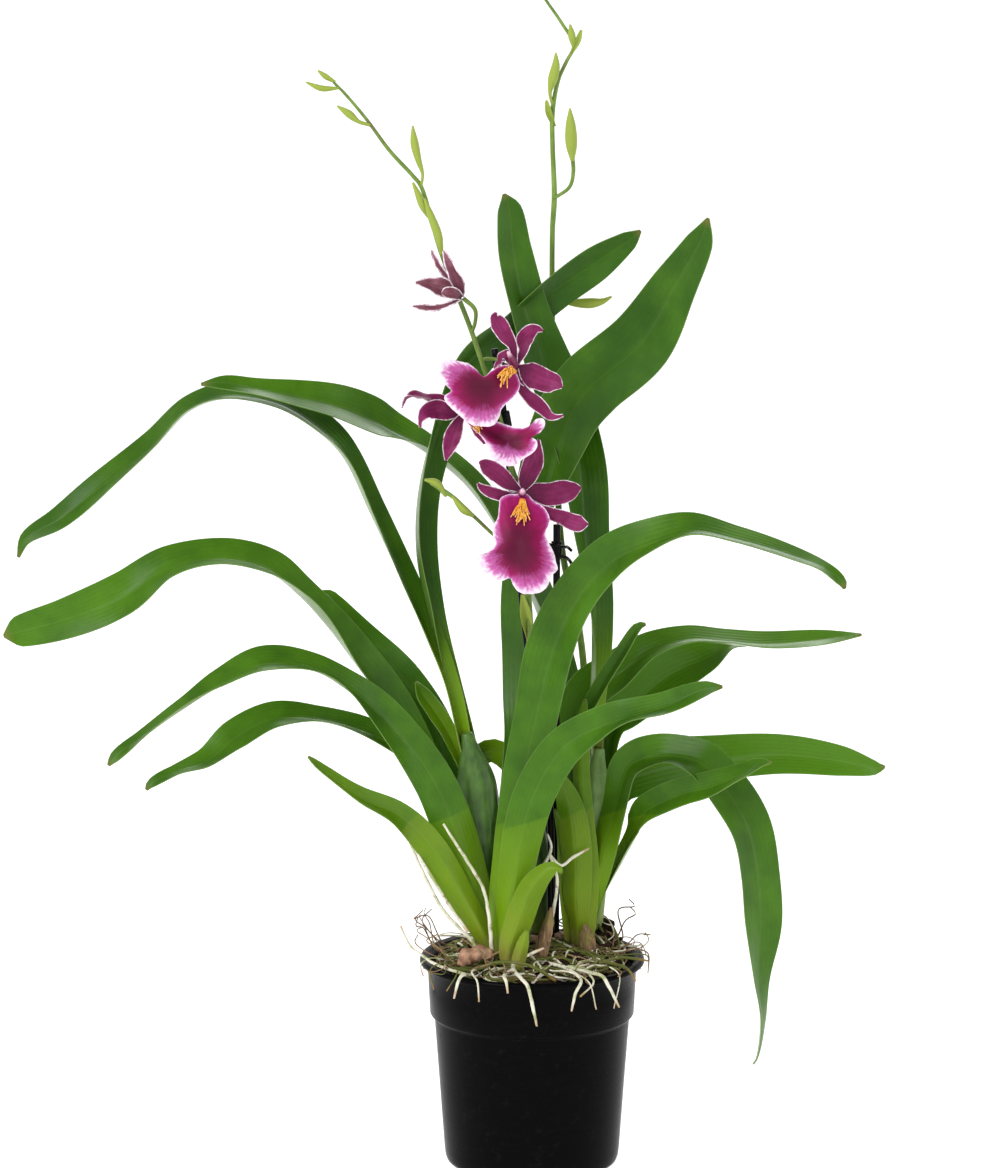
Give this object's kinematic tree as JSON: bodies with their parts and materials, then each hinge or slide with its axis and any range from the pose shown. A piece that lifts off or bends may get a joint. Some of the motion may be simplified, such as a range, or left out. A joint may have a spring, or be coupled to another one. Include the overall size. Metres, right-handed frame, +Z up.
{
  "type": "potted orchid",
  "caption": "Miltonia orchid with arching strap leaves, pseudobulbs, flower spikes with buds and open purple blooms, stakes and aerial roots, growing in a round nursery pot.",
  "frame": {"origin": "middle of the pot's underside", "axes": "+Z up, +Y away from the front, which faces the viewer, +X to the viewer's right"},
  "size_m": [0.4641, 0.1699, 0.6452],
  "materials": {
    "pot": "satin",
    "stake": "satin",
    "rhizome": "rough",
    "bulb": "satin",
    "grey_bulb": "satin",
    "stem": "satin",
    "leaf": "satin",
    "young_leaf": "satin",
    "petal": "velvety",
    "crest": "matte",
    "pale_bud": "velvety",
    "root": "matte",
    "mossy_root": "matte",
    "dry_sheath": "matte",
    "bark": "rough"
  },
  "bodies": {
    "root": {"pot": "pot", "stake_leaning": "stake", "stake_straight": "stake", "clip_right": "stake", "clip_left": "stake", "rhizome": "rhizome", "rhizome_knob": "rhizome", "bulb_left": "bulb", "bulb_back": "bulb", "bulb_right": "grey_bulb", "spike_left": "stem", "spike_right": "stem", "leaf_left_tall": "leaf", "leaf_left_rear": "leaf", "leaf_left_broad": "leaf", "leaf_left_curled": "leaf", "leaf_left_short": "leaf", "leaf_left_front": "leaf", "leaf_left_low": "leaf", "leaf_centre_broad": "leaf", "leaf_centre_short": "leaf", "leaf_back_long": "leaf", "leaf_front_tall": "leaf", "leaf_front_low": "leaf", "leaf_right_tall": "leaf", "leaf_right_grey": "leaf", "leaf_right_bright": "leaf", "leaf_right_curled": "leaf", "leaf_right_long": "leaf", "leaf_right_drooping": "leaf", "leaf_right_low": "leaf", "leaf_left_sheath": "young_leaf", "leaf_front_shoot": "young_leaf", "leaf_front_bud": "young_leaf", "leaf_right_bent": "young_leaf", "leaf_right_pointed": "young_leaf", "leaf_right_stub": "young_leaf", "bloom_one": "petal", "bloom_two": "petal", "bloom_three": "petal", "crest_one": "crest", "crest_two": "crest", "crest_three": "crest", "flower_half_open": "pale_bud", "root_left_high": "root", "root_left_low": "root", "root_right_high": "root", "root_front": "root", "root_rim_left": "root", "root_rim_right": "root", "root_rim_green": "mossy_root", "root_back_right": "mossy_root", "dry_sheath_left": "dry_sheath", "dry_sheath_middle": "dry_sheath", "dry_sheath_right": "dry_sheath", "potting_bark": "bark"}
  },
  "joints": []
}
